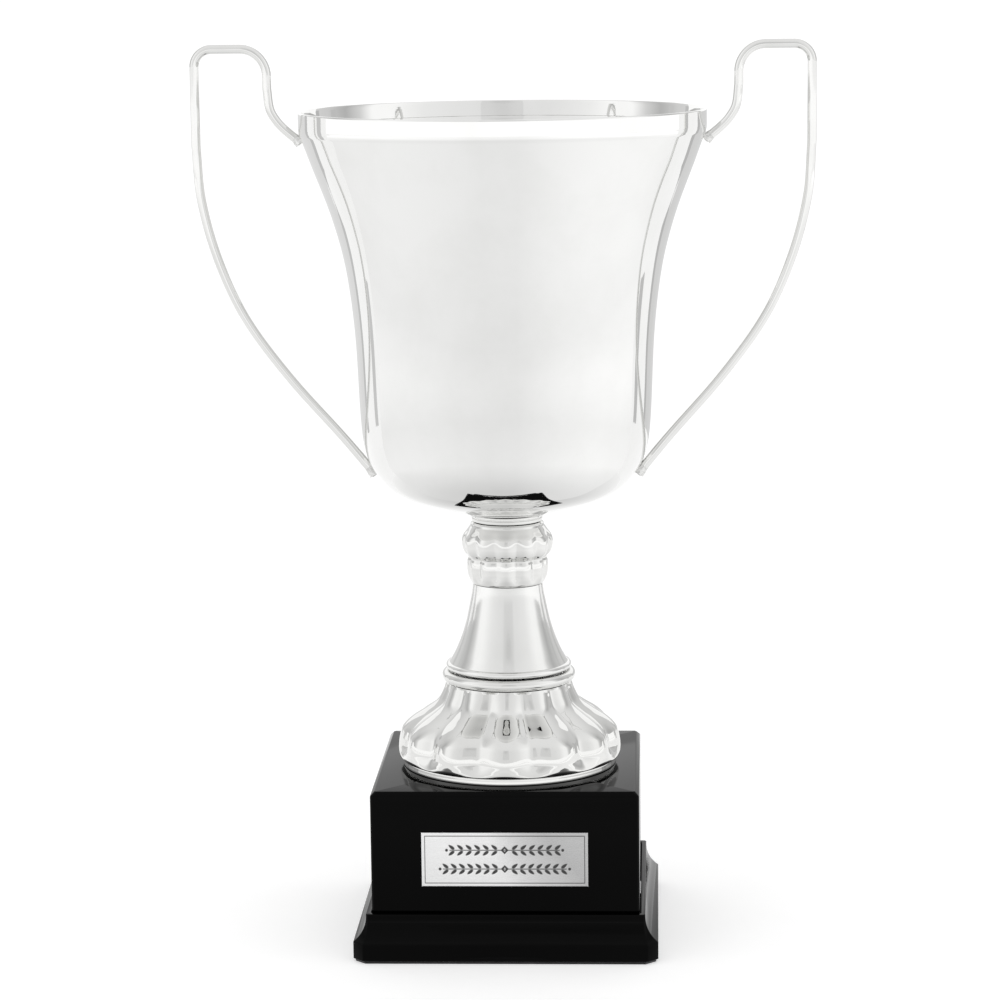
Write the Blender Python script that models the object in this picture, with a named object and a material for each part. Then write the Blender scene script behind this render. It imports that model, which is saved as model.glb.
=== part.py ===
"""Two-handled loving cup on a square plinth, as the pieces it is assembled from.

Metres, +Z up. The origin is the bottom centre of the plinth's felt. -Y is the front,
which carries the engraving plate, and the two handles stand out along -X and +X.
One tie rod clamps the bowl, neck, knop, stem, ring and foot onto the plinth.
"""

import math

import bmesh
import bpy
from mathutils import Matrix, Vector

# ---- Driving dimensions, in metres ----
GAP = 0.0003  # between pieces that touch
SHEET = 0.0009  # wall of the spun metal shells

PLINTH_HALF = 0.050
PLINTH_TOP = 0.0640
PLINTH_CHAMFER = 0.0016
PLINTH_WALL = 0.0030
CORNER_CLIP = 0.0008
FELT_THICK = 0.0008
FELT_INSET = 0.0008
TIER_HALF = 0.0569
TIER_SLAB_TOP = 0.00783
TIER_LEDGE = 0.0178
TIER_LEDGE_HALF = 0.05215
TIER_CLIP = 0.0039
COVE_RADIUS = 0.0112
WEIGHT_BOTTOM = 0.0080
NUT_RECESS_HALF = 0.0120
NUT_RECESS_TOP = 0.0200

PLATE_WIDTH = 0.0620
PLATE_HEIGHT = 0.0206
PLATE_CENTRE_Z = 0.03866
PLATE_THICK = 0.0007
TAPE_THICK = 0.0002
TAPE_GAP = 0.00015
PLATE_CLIP = 0.0006

ROD_RADIUS = 0.0030
ROD_HOLE = 0.0034
ROD_BOTTOM = 0.0110
NUT_ACROSS_FLATS = 0.0100
NUT_HEIGHT = 0.0050
WASHER_RADIUS = 0.0095
WASHER_THICK = 0.0013

LOBES = 12  # gadroons round the foot and the knop
FOOT_TOP = 0.0959
FOOT_BOTTOM = PLINTH_TOP + GAP
FOOT_MOUTH = 0.0195
FOOT_LOBE_DEPTH = 0.0028
FOOT_SHOULDER = 0.0238  # where the flat top of the foot turns down into its wall
RING_CENTRE = (0.0235, 0.0983)
RING_TUBE = 0.0021
STEM_TOP = 0.1339
STEM_BEAD_CENTRE = (0.02265, 0.1021)
STEM_BEAD_TUBE = 0.00135
KNOP_TOP = 0.1577
KNOP_BOTTOM = 0.1342
KNOP_BORE = 0.0105
KNOP_SEAT = 0.0134  # radius of the knop's flat ends
KNOP_LOBE_DEPTH = 0.0012
NECK_TOP = 0.1607
NECK_RADIUS = 0.0136
NECK_ROUNDING = 0.0005
BOWL_BOTTOM = 0.1610
BOWL_SEAT = 0.0130  # radius of the bowl's flat bottom
COLLAR_FOOT = 0.3074  # height where the upright collar of the bowl begins
RIM_RADIUS = 0.0762
RIM_TOP = 0.3134
DISC_THICK = 0.0014

WIRE_RADIUS = 0.00175
HANDLE_LOWER_Z = 0.1765
HANDLE_UPPER_Z = 0.3022
HANDLE_OUTER_X = 0.1152
HANDLE_INNER_X = 0.0880
HANDLE_TOP_Z = 0.3366
HANDLE_OUTER_BEND = 0.0065
HANDLE_INNER_BEND = 0.0100
WIRE_STANDOFF = 0.0009
WIRE_SIDES = 12
SOLDER_LENGTH = 0.0030
SOLDER_THICK = 0.0006

ROUND_SEGMENTS = 48
ROD_SEGMENTS = 24

# Bowl wall, outside, from the flat seat up to the collar (radius, height).
BOWL_WALL = [
    (BOWL_SEAT, BOWL_BOTTOM), (0.0228, 0.1627), (0.0323, 0.1655), (0.0396, 0.1683), (0.0443, 0.1712),
    (0.0477, 0.1746), (0.0506, 0.1787), (0.0527, 0.1836), (0.0543, 0.1915), (0.0552, 0.2040),
    (0.0561, 0.2249), (0.0576, 0.2420), (0.0603, 0.2590), (0.0650, 0.2759), (0.0713, 0.2927),
    (0.0742, 0.3006), (0.0759, 0.3050),
]
STEM_WALL = [
    (0.01345, STEM_TOP), (0.0141, 0.1292), (0.0151, 0.1242), (0.0164, 0.1185),
    (0.0181, 0.1130), (0.0203, 0.1077), (0.0226, 0.1034),
]
KNOP_WALL = [
    (0.0140, 0.1563), (0.0153, 0.1545), (0.0169, 0.1523), (0.0174, 0.1498), (0.0171, 0.1474),
    (0.0163, 0.1452), (0.0151, 0.1433), (0.0154, 0.1397), (0.0150, 0.1374), (0.0140, 0.1354),
]
FOOT_WALL = [
    (0.0243, 0.0950), (0.0253, 0.0921), (0.0274, 0.0884), (0.0320, 0.0850), (0.0377, 0.0813),
    (0.0411, 0.0780), (0.0423, 0.0748), (0.0424, 0.0718), (0.0421, 0.0692), (0.0413, 0.0671),
]
# The lower sweep of a handle, from the bowl to the foot of its straight outer leg (x, height).
HANDLE_SWEEP = [
    (0.0620, 0.1903), (0.0821, 0.2134), (0.0983, 0.2362), (0.1082, 0.2589),
    (0.1138, 0.2814), (HANDLE_OUTER_X, 0.3010),
]
# The swan-neck end of a handle, from its inner leg to the collar of the bowl (x, height).
HANDLE_NECK = [
    (HANDLE_INNER_X, 0.3220), (0.0870, 0.3142), (0.0845, 0.3097), (0.0810, 0.3060),
]

SILVER = ((0.93, 0.93, 0.92), 0.08, 1.0)
WIRE_SILVER = ((0.94, 0.94, 0.93), 0.12, 1.0)
SOLDER = ((0.86, 0.86, 0.85), 0.25, 1.0)
STEEL = ((0.55, 0.55, 0.56), 0.35, 1.0)
BLACK_PLASTIC = ((0.004, 0.004, 0.004), 0.06, 0.0)
PLASTER = ((0.70, 0.68, 0.64), 0.90, 0.0)
BRUSHED_PLATE = ((0.80, 0.80, 0.80), 0.30, 1.0)
TAPE = ((0.90, 0.90, 0.88), 0.70, 0.0)
FELT = ((0.010, 0.010, 0.011), 0.95, 0.0)


# ---- Helpers ----
def clear_scene():
    for obj in list(bpy.data.objects):
        bpy.data.objects.remove(obj, do_unlink=True)


def finish_object(name, bm, look, parent):
    """Turns a bmesh into a named, smooth-shaded object with its own material."""
    bmesh.ops.remove_doubles(bm, verts=bm.verts[:], dist=1e-6)
    bmesh.ops.recalc_face_normals(bm, faces=bm.faces[:])
    if bm.calc_volume(signed=True) < 0:
        bmesh.ops.reverse_faces(bm, faces=bm.faces[:])
    mesh = bpy.data.meshes.new(name)
    bm.to_mesh(mesh)
    bm.free()
    mesh.shade_smooth()
    mesh.set_sharp_from_angle(angle=math.radians(35))
    color, roughness, metallic = look
    material = bpy.data.materials.new(name)
    material.use_nodes = True
    shader = material.node_tree.nodes["Principled BSDF"]
    shader.inputs["Base Color"].default_value = (*color, 1.0)
    shader.inputs["Roughness"].default_value = roughness
    shader.inputs["Metallic"].default_value = metallic
    mesh.materials.append(material)
    obj = bpy.data.objects.new(name, mesh)
    bpy.context.scene.collection.objects.link(obj)
    obj.parent = parent
    return obj


def smooth_curve(points, steps):
    """Points along a smooth curve through the given ones, `steps` to each span."""
    knots = [Vector(point) for point in points]
    reach = [0.0]
    for start, end in zip(knots, knots[1:]):
        reach.append(reach[-1] + (end - start).length)
    last = len(knots) - 1
    slopes = []
    for i in range(last + 1):
        low, high = max(i - 1, 0), min(i + 1, last)
        slopes.append((knots[high] - knots[low]) / (reach[high] - reach[low]))
    curve = []
    for i in range(last):
        span = reach[i + 1] - reach[i]
        for k in range(steps):
            u = k / steps
            curve.append(
                (2 * u**3 - 3 * u**2 + 1) * knots[i]
                + (u**3 - 2 * u**2 + u) * span * slopes[i]
                + (3 * u**2 - 2 * u**3) * knots[i + 1]
                + (u**3 - u**2) * span * slopes[i + 1]
            )
    curve.append(knots[-1])
    return curve


def arc(centre, radius, start, end, steps):
    """Points on an arc from angle `start` to angle `end`, in degrees, both included."""
    points = []
    for k in range(steps + 1):
        angle = math.radians(start + (end - start) * k / steps)
        points.append(Vector(centre) + radius * Vector((math.cos(angle), math.sin(angle))))
    return points


def offset_left(wall, distance):
    """The profile of the other side of a sheet, to the left of the way that `wall` runs."""
    inside = []
    last = len(wall) - 1
    for i, point in enumerate(wall):
        along = (wall[min(i + 1, last)] - wall[max(i - 1, 0)]).normalized()
        inside.append(point + distance * Vector((-along.y, along.x)))
    return inside


def radius_at(wall, height):
    """Radius of a wall profile at a height between two of its points."""
    for low, high in zip(wall, wall[1:]):
        if low.y <= height <= high.y:
            return low.x + (high.x - low.x) * (height - low.y) / (high.y - low.y)
    raise ValueError("height is outside the wall")


def turned(name, outline, look, parent, segments=ROUND_SEGMENTS, lobe_depth=None):
    """A piece turned about the Z axis from a closed outline of (radius, height) points.

    lobe_depth(height) gives how deep the creases between the gadroons are; one lobe faces the front.
    """
    bm = bmesh.new()
    verts = [bm.verts.new((0.0, -point[0], point[1])) for point in outline]
    edges = [bm.edges.new((verts[i - 1], verts[i])) for i in range(len(verts))]
    bmesh.ops.spin(
        bm, geom=verts + edges, cent=(0, 0, 0), axis=(0, 0, 1),
        angle=2 * math.pi, steps=segments, use_merge=True,
    )
    if lobe_depth:
        for vert in bm.verts:
            radius = math.hypot(vert.co.x, vert.co.y)
            angle = math.atan2(vert.co.x, -vert.co.y)
            crease = 1 - abs(math.cos(LOBES / 2 * angle))
            scale = 1 - lobe_depth(vert.co.z) * crease / radius
            vert.co.x *= scale
            vert.co.y *= scale
    return finish_object(name, bm, look, parent)


def clipped_square(half_x, half_y, clip):
    """Corners of a rectangle whose four corners are clipped at 45 degrees."""
    return [
        (half_x, half_y - clip), (half_x - clip, half_y),
        (clip - half_x, half_y), (-half_x, half_y - clip),
        (-half_x, clip - half_y), (clip - half_x, -half_y),
        (half_x - clip, -half_y), (half_x, clip - half_y),
    ]


def square_turned(name, outline, look, parent):
    """A square-plan moulding from a closed outline of (half width, height, corner clip) points."""
    bm = bmesh.new()
    rings = []
    for half, height, clip in outline:
        rings.append([bm.verts.new((x, y, height)) for x, y in clipped_square(half, half, clip)])
    for i, ring in enumerate(rings):
        below = rings[i - 1]
        for k in range(len(ring)):
            bm.faces.new((below[k - 1], below[k], ring[k], ring[k - 1]))
    return finish_object(name, bm, look, parent)


def octagon_clip(half):
    """The corner clip that turns a square of this half width into a regular octagon."""
    return half * (2 - math.sqrt(2))


def slab(name, half_x, half_y, clip, bottom, top, look, parent):
    """A flat plate with clipped corners, lying in the XY plane."""
    bm = bmesh.new()
    base = bm.faces.new([bm.verts.new((x, y, bottom)) for x, y in clipped_square(half_x, half_y, clip)])
    grown = bmesh.ops.extrude_face_region(bm, geom=[base])
    raised = [item for item in grown["geom"] if isinstance(item, bmesh.types.BMVert)]
    bmesh.ops.translate(bm, verts=raised, vec=(0, 0, top - bottom))
    return finish_object(name, bm, look, parent)


def cylinder(bm, radius, bottom, top, segments):
    bmesh.ops.create_cone(
        bm, cap_ends=True, segments=segments, radius1=radius, radius2=radius, depth=top - bottom,
        matrix=Matrix.Translation((0, 0, (bottom + top) / 2)),
    )


def drill(obj, radius, bottom, top):
    """Cuts a round hole on the Z axis through a piece."""
    bm = bmesh.new()
    cylinder(bm, radius, bottom, top, ROD_SEGMENTS)
    cutter = finish_object(obj.name + "_cutter", bm, STEEL, obj.parent)
    cutter.hide_render = True
    cutter.display_type = "WIRE"
    cut = obj.modifiers.new("hole", "BOOLEAN")
    cut.operation = "DIFFERENCE"
    cut.solver = "EXACT"
    cut.object = cutter


def smooth_step(value, start, end):
    """0 at start, 1 at end, level at both."""
    share = min(max((value - start) / (end - start), 0.0), 1.0)
    return share * share * (3 - 2 * share)


# ---- Cup ----
BOWL_OUTSIDE = smooth_curve(BOWL_WALL, 1) + [Vector((RIM_RADIUS, COLLAR_FOOT))]


def make_bowl(parent):
    inside = offset_left(BOWL_OUTSIDE, SHEET)
    inner_rim = RIM_RADIUS - SHEET
    lip = arc((RIM_RADIUS - SHEET / 2, RIM_TOP - SHEET / 2), SHEET / 2, 0, 180, 4)
    outline = [Vector((ROD_HOLE, BOWL_BOTTOM)), *BOWL_OUTSIDE, *lip]
    outline += [Vector((inner_rim, COLLAR_FOOT)), *reversed(inside[1:-1])]
    outline += [Vector((BOWL_SEAT, BOWL_BOTTOM + SHEET)), Vector((ROD_HOLE, BOWL_BOTTOM + SHEET))]
    turned("bowl", outline, SILVER, parent)


def make_cup_fixings(parent):
    """The washer and nut that are seen at the bottom of the bowl's inside."""
    bottom = BOWL_BOTTOM + SHEET + GAP
    outline = [
        (ROD_HOLE, bottom), (WASHER_RADIUS, bottom),
        (WASHER_RADIUS, bottom + WASHER_THICK), (ROD_HOLE, bottom + WASHER_THICK),
    ]
    turned("cup_washer", outline, STEEL, parent, ROD_SEGMENTS)
    hex_nut("cup_nut", bottom + WASHER_THICK + GAP, parent)
    return bottom + WASHER_THICK + GAP + NUT_HEIGHT


def hex_nut(name, bottom, parent):
    bm = bmesh.new()
    corner_radius = NUT_ACROSS_FLATS / math.sqrt(3)
    cylinder(bm, corner_radius, bottom, bottom + NUT_HEIGHT, 6)
    nut = finish_object(name, bm, STEEL, parent)
    drill(nut, ROD_HOLE, bottom - GAP, bottom + NUT_HEIGHT + GAP)


def make_neck(parent):
    bottom = KNOP_TOP + GAP
    end = NECK_RADIUS - NECK_ROUNDING
    outline = [
        (ROD_HOLE, bottom), (end, bottom), (NECK_RADIUS, bottom + NECK_ROUNDING),
        (NECK_RADIUS, NECK_TOP - NECK_ROUNDING), (end, NECK_TOP), (ROD_HOLE, NECK_TOP),
    ]
    turned("neck_collar", outline, SILVER, parent)


def knop_lobe_depth(height):
    return KNOP_LOBE_DEPTH * smooth_step(height, 0.1565, 0.1520) * smooth_step(height, 0.1342, 0.1372)


def make_knop(parent):
    outline = [Vector((KNOP_BORE, KNOP_TOP)), Vector((KNOP_SEAT, KNOP_TOP))]
    outline += smooth_curve(KNOP_WALL, 1)
    outline += [Vector((KNOP_SEAT, KNOP_BOTTOM)), Vector((KNOP_BORE, KNOP_BOTTOM))]
    turned("knop", outline, SILVER, parent, lobe_depth=knop_lobe_depth)


def make_stem(parent):
    wall = smooth_curve(STEM_WALL, 1)
    bead = arc(STEM_BEAD_CENTRE, STEM_BEAD_TUBE, 70, -90, 5)
    inside = [Vector((point.x - SHEET, point.y)) for point in reversed(wall)]
    bead_bottom = Vector((STEM_BEAD_CENTRE[0] - SHEET, bead[-1].y))
    outline = [*wall, *bead, bead_bottom, *inside]
    turned("stem", outline, SILVER, parent)


def make_foot_ring(parent):
    outline = arc(RING_CENTRE, RING_TUBE, 0, 315, 7)
    turned("foot_ring", outline, SILVER, parent)


def make_centring_disc(parent):
    """The disc that the stem's base sits round, which keeps the tie rod on the axis."""
    bottom = FOOT_TOP + GAP
    top = bottom + DISC_THICK
    radius = RING_CENTRE[0] - RING_TUBE - 2 * GAP
    outline = [(ROD_HOLE, bottom), (radius, bottom), (radius, top), (ROD_HOLE, top)]
    turned("centring_disc", outline, STEEL, parent)


def foot_lobe_depth(height):
    fade_at_ring = 0.35 + 0.65 * smooth_step(height, FOOT_TOP, 0.0800)
    return FOOT_LOBE_DEPTH * fade_at_ring * smooth_step(height, 0.0664, 0.0720)


def make_foot(parent):
    wall = smooth_curve(FOOT_WALL, 1)
    inside = offset_left(wall, -SHEET)
    top = [Vector((FOOT_MOUTH, FOOT_TOP)), Vector((FOOT_SHOULDER, FOOT_TOP))]
    flange = [
        Vector((0.0400, 0.0663)), Vector((0.0408, 0.0660)), Vector((0.0410, 0.0652)),
        Vector((0.0406, FOOT_BOTTOM)), Vector((0.0386, FOOT_BOTTOM)), Vector((0.0389, 0.0664)),
    ]
    under_top = [
        Vector((FOOT_SHOULDER - SHEET, FOOT_TOP - SHEET)), Vector((FOOT_MOUTH, FOOT_TOP - SHEET)),
    ]
    outline = [*top, *wall, *flange, *reversed(inside[1:]), *under_top]
    turned("foot", outline, SILVER, parent, lobe_depth=foot_lobe_depth)


def make_tie_rod(top, parent):
    bm = bmesh.new()
    cylinder(bm, ROD_RADIUS, ROD_BOTTOM, top, ROD_SEGMENTS)
    finish_object("tie_rod", bm, STEEL, parent)


# ---- Handles ----
def wall_frame(height):
    """A point of the bowl's outside at this height, and the outward normal there, in the XZ plane."""
    step = 0.002
    low, high = radius_at(BOWL_OUTSIDE, height - step), radius_at(BOWL_OUTSIDE, height + step)
    along = Vector((high - low, 2 * step)).normalized()
    point = Vector((radius_at(BOWL_OUTSIDE, height), height))
    return point, Vector((along.y, -along.x))


def handle_end(height):
    """Where a handle's centre line ends, a little off the bowl so that the wire lies against it."""
    point, normal = wall_frame(height)
    return point + WIRE_STANDOFF * normal


def handle_path():
    """The centre line of the right handle in the XZ plane, from its lower end to its upper end."""
    bend_out = HANDLE_OUTER_BEND
    bend_in = HANDLE_INNER_BEND
    outer_centre = (HANDLE_OUTER_X - bend_out, HANDLE_TOP_Z - bend_out)
    inner_centre = (HANDLE_INNER_X + bend_in, HANDLE_TOP_Z - bend_in)
    return [
        *smooth_curve([handle_end(HANDLE_LOWER_Z), *HANDLE_SWEEP], 4),
        *arc(outer_centre, bend_out, 0, 90, 6),
        *arc(inner_centre, bend_in, 90, 180, 7),
        *smooth_curve([*HANDLE_NECK, handle_end(HANDLE_UPPER_Z)], 3),
    ]


def round_wire(centre, along, radius, angles):
    """Points round a wire in the XZ plane; angle 0 is square to the wire, on its left, in that plane."""
    across = Vector((-along.y, 0.0, along.x))
    points = []
    for angle in angles:
        offset = radius * (math.cos(angle) * across + math.sin(angle) * Vector((0, 1, 0)))
        points.append(Vector((centre.x, 0.0, centre.y)) + offset)
    return points


def keep_off_bowl(points):
    """Moves any point that would be in the bowl out to just clear of it, as if the wire were filed to fit."""
    for point in points:
        radius = math.hypot(point.x, point.y)
        if not HANDLE_LOWER_Z - 0.01 < point.z < BOWL_OUTSIDE[-1].y:
            continue
        clear = radius_at(BOWL_OUTSIDE, point.z) + 1.5 * GAP
        if radius < clear:
            point.x *= clear / radius
            point.y *= clear / radius
    return points


def bridge(bm, rings):
    """Joins rings of points with quads, and caps both ends."""
    loops = [[bm.verts.new(point) for point in ring] for ring in rings]
    for below, above in zip(loops, loops[1:]):
        for k in range(len(above)):
            bm.faces.new((below[k - 1], below[k], above[k], above[k - 1]))
    bm.faces.new(reversed(loops[0]))
    bm.faces.new(loops[-1])


def mirrored(rings, side):
    return [[Vector((side * point.x, point.y, point.z)) for point in ring] for ring in rings]


def make_handle(side_name, side, path, parent):
    angles = [2 * math.pi * k / WIRE_SIDES for k in range(WIRE_SIDES)]
    rings = []
    last = len(path) - 1
    for i, point in enumerate(path):
        along = (path[min(i + 1, last)] - path[max(i - 1, 0)]).normalized()
        rings.append(keep_off_bowl(round_wire(point, along, WIRE_RADIUS, angles)))
    bm = bmesh.new()
    bridge(bm, mirrored(rings, side))
    finish_object("handle_" + side_name, bm, WIRE_SILVER, parent)


def make_solder(name, side, end, neighbour, height, parent):
    """A saddle of solder over the end of a handle, on the side away from the bowl."""
    normal = wall_frame(height)[1]
    along = (neighbour - end).normalized()
    facing = 0.0 if Vector((-along.y, along.x)).dot(normal) > 0 else math.pi
    spread = [math.radians(-95 + 190 * k / 8) for k in range(9)]
    bore = WIRE_RADIUS + GAP
    rings = []
    sections = (
        (0.0002, SOLDER_THICK), (SOLDER_LENGTH * 0.6, SOLDER_THICK), (SOLDER_LENGTH, SOLDER_THICK / 2),
    )
    for reach, thick in sections:
        centre = end + reach * along
        outside = round_wire(centre, along, bore + thick, [facing + angle for angle in spread])
        inside = round_wire(centre, along, bore, [facing + angle for angle in reversed(spread)])
        rings.append(keep_off_bowl(outside + inside))
    bm = bmesh.new()
    bridge(bm, mirrored(rings, side))
    finish_object(name, bm, SOLDER, parent)


def make_handles(parent):
    path = handle_path()
    for side_name, side in (("right", 1), ("left", -1)):
        make_handle(side_name, side, path, parent)
        make_solder("solder_lower_" + side_name, side, path[0], path[1], HANDLE_LOWER_Z, parent)
        make_solder("solder_upper_" + side_name, side, path[-1], path[-2], HANDLE_UPPER_Z, parent)


# ---- Plinth ----
def tier_clip(half):
    """The corner clip of the lower tier, which grows from its ledge out to its slab."""
    share = (half - TIER_LEDGE_HALF) / (TIER_HALF - TIER_LEDGE_HALF)
    return CORNER_CLIP + share * (TIER_CLIP - CORNER_CLIP)


def make_plinth_body(parent):
    bottom = FELT_THICK + 2 * GAP
    half = PLINTH_HALF
    inner = PLINTH_HALF - PLINTH_WALL
    ceiling = PLINTH_TOP - PLINTH_WALL
    hole_clip = octagon_clip(ROD_HOLE)
    outline = [
        (ROD_HOLE, PLINTH_TOP, hole_clip),
        (half - PLINTH_CHAMFER, PLINTH_TOP, CORNER_CLIP),
        (half, PLINTH_TOP - PLINTH_CHAMFER, CORNER_CLIP),
        (half, bottom, CORNER_CLIP),
        (inner, bottom, CORNER_CLIP),
        (inner, ceiling, CORNER_CLIP),
        (ROD_HOLE, ceiling, hole_clip),
    ]
    square_turned("plinth_body", outline, BLACK_PLASTIC, parent)


def make_plinth_tier(parent):
    """The wider tier round the plinth's foot: a slab, and a cove that sweeps up to a narrow ledge."""
    bottom = FELT_THICK + GAP
    lip = 0.0010  # upright face under the ledge
    centre = (TIER_LEDGE_HALF + COVE_RADIUS, TIER_LEDGE - lip)
    cove_end = 180 + math.degrees(math.asin((TIER_LEDGE - lip - TIER_SLAB_TOP) / COVE_RADIUS))
    cove = arc(centre, COVE_RADIUS, 180, cove_end, 6)
    outline = [
        (PLINTH_HALF + GAP, bottom, CORNER_CLIP),
        (PLINTH_HALF + GAP, TIER_LEDGE, CORNER_CLIP),
        (TIER_LEDGE_HALF, TIER_LEDGE, tier_clip(TIER_LEDGE_HALF)),
        *[(point.x, point.y, tier_clip(point.x)) for point in cove],
        (TIER_HALF, TIER_SLAB_TOP - 0.0002, TIER_CLIP),
        (TIER_HALF, bottom, TIER_CLIP),
    ]
    square_turned("plinth_tier", outline, BLACK_PLASTIC, parent)


def make_plinth_weight(parent):
    """Cast filling of the hollow plinth, with a recess below for the nut and its washer."""
    half = PLINTH_HALF - PLINTH_WALL - GAP
    top = PLINTH_TOP - PLINTH_WALL - GAP
    hole_clip = octagon_clip(ROD_HOLE)
    outline = [
        (ROD_HOLE, top, hole_clip),
        (half, top, CORNER_CLIP),
        (half, WEIGHT_BOTTOM, CORNER_CLIP),
        (NUT_RECESS_HALF, WEIGHT_BOTTOM, octagon_clip(NUT_RECESS_HALF)),
        (NUT_RECESS_HALF, NUT_RECESS_TOP, octagon_clip(NUT_RECESS_HALF)),
        (ROD_HOLE, NUT_RECESS_TOP, hole_clip),
    ]
    square_turned("plinth_weight", outline, PLASTER, parent)


def make_plinth_fixings(parent):
    washer_bottom = NUT_RECESS_TOP - GAP - WASHER_THICK
    outline = [
        (ROD_HOLE, washer_bottom), (WASHER_RADIUS, washer_bottom),
        (WASHER_RADIUS, washer_bottom + WASHER_THICK), (ROD_HOLE, washer_bottom + WASHER_THICK),
    ]
    turned("plinth_washer", outline, STEEL, parent, ROD_SEGMENTS)
    hex_nut("plinth_nut", washer_bottom - GAP - NUT_HEIGHT, parent)


def make_felt(parent):
    half = TIER_HALF - FELT_INSET
    slab("base_felt", half, half, TIER_CLIP, 0.0, FELT_THICK, FELT, parent)


def make_plate(parent):
    """The engraving plate and its adhesive tape, made flat and then stood up on the front face."""
    upright = bpy.data.objects.new("plate_place", None)
    bpy.context.scene.collection.objects.link(upright)
    upright.parent = parent
    upright.location = (0, -PLINTH_HALF, PLATE_CENTRE_Z)
    upright.rotation_euler = (math.radians(90), 0, 0)
    tape_top = TAPE_GAP + TAPE_THICK
    plate_bottom = tape_top + TAPE_GAP
    margin = 0.0010
    slab(
        "plate_tape", PLATE_WIDTH / 2 - margin, PLATE_HEIGHT / 2 - margin, PLATE_CLIP,
        TAPE_GAP, tape_top, TAPE, upright,
    )
    slab(
        "engraving_plate", PLATE_WIDTH / 2, PLATE_HEIGHT / 2, PLATE_CLIP,
        plate_bottom, plate_bottom + PLATE_THICK, BRUSHED_PLATE, upright,
    )


def main():
    clear_scene()
    trophy = bpy.data.objects.new("trophy", None)
    bpy.context.scene.collection.objects.link(trophy)
    make_bowl(trophy)
    nut_top = make_cup_fixings(trophy)
    make_tie_rod(nut_top + 0.0020, trophy)
    make_neck(trophy)
    make_knop(trophy)
    make_stem(trophy)
    make_foot_ring(trophy)
    make_centring_disc(trophy)
    make_foot(trophy)
    make_handles(trophy)
    make_plinth_body(trophy)
    make_plinth_tier(trophy)
    make_plinth_weight(trophy)
    make_plinth_fixings(trophy)
    make_felt(trophy)
    make_plate(trophy)


main()
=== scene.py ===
"""The looks of a silver-plated cup trophy on a black plinth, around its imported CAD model. Metres, +Z up."""

import math

import bmesh
import bpy
import numpy as np
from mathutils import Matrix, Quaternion, Vector


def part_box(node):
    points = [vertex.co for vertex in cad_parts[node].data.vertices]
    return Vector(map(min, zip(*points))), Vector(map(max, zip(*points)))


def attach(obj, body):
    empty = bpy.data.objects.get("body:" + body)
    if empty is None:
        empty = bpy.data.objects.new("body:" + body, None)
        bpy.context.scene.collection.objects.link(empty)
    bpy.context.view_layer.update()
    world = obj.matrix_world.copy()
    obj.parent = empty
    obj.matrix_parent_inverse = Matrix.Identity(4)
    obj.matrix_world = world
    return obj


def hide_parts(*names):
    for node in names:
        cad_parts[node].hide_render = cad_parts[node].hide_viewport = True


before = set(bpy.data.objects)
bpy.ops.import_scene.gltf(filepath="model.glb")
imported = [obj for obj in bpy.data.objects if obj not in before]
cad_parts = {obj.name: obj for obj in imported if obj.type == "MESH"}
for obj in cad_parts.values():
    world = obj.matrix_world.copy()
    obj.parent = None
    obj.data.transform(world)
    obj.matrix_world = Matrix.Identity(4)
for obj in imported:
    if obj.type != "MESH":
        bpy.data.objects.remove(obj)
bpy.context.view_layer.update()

# ---- Sizes of the trophy ----
SHEET = 0.0009
GAP = 0.0003
LOBES = 12
PLINTH_HALF, PLINTH_TOP, PLINTH_CHAMFER = 0.050, 0.0640, 0.0016
CORNER_CLIP, PLINTH_WALL = 0.0008, 0.0030
FELT_THICK = 0.0008
TIER_HALF, TIER_SLAB_TOP, TIER_LEDGE, TIER_LEDGE_HALF = 0.0569, 0.00783, 0.0178, 0.05215
TIER_CLIP, COVE_RADIUS, LEDGE_LIP, SLAB_LIP = 0.0039, 0.0112, 0.0010, 0.0002
ROD_RADIUS, ROD_HOLE, ROD_BOTTOM = 0.0030, 0.0034, 0.0110
ROD_PROUD, ROD_POINT = 0.0020, 0.0004  # its length above the nut, and how much thinner its tips get
WASHER_RADIUS, WASHER_THICK = 0.0095, 0.0013
NUT_ACROSS_FLATS, NUT_HEIGHT = 0.0100, 0.0050
FOOT_TOP, FOOT_BOTTOM, FOOT_MOUTH = 0.0959, 0.0643, 0.0195
FOOT_SHOULDER, FOOT_SHOULDER_INSIDE, FOOT_EDGE = 0.0238, 0.0232, 0.0667
RING_CENTRE, RING_TUBE = (0.0235, 0.0983), 0.0021
BEAD_CENTRE, BEAD_TUBE = (0.02265, 0.1021), 0.00135
KNOP_TOP, KNOP_BOTTOM, KNOP_BORE = 0.1577, 0.1342, 0.0105
KNOP_SHOULDER, KNOP_SEAT = [(0.0133, 0.1577), (0.0139, 0.1571)], [(0.0140, 0.1344), (0.0138, 0.1342)]
KNOP_PLAIN_RADIUS = 0.0134  # the knop has no lobes inside this
NECK_TOP, NECK_SEAT, NECK_RADIUS, NECK_ROUNDING = 0.1607, 0.0128, 0.0136, 0.0005
BOWL_BOTTOM, BOWL_SEAT = 0.1610, 0.0130
RIM_RADIUS, RIM_TOP, COLLAR_FOOT, COLLAR_TURN = 0.0762, 0.3134, 0.3074, (0.0761, 0.3061)
COLLAR_TAPER = 0.0008  # how much narrower the collar is inside at its foot than at its top
WIRE_RADIUS = 0.00174
HANDLE_LOWER_Z, HANDLE_UPPER_Z = 0.1765, 0.3022
HANDLE_OUTER_X, HANDLE_INNER_X, HANDLE_TOP_Z = 0.1152, 0.0880, 0.3366
OUTER_BEND, INNER_BEND = 0.0065, 0.0100
WIRE_STANDOFF, WIRE_END_DOME = 0.0011, 0.0007

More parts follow.
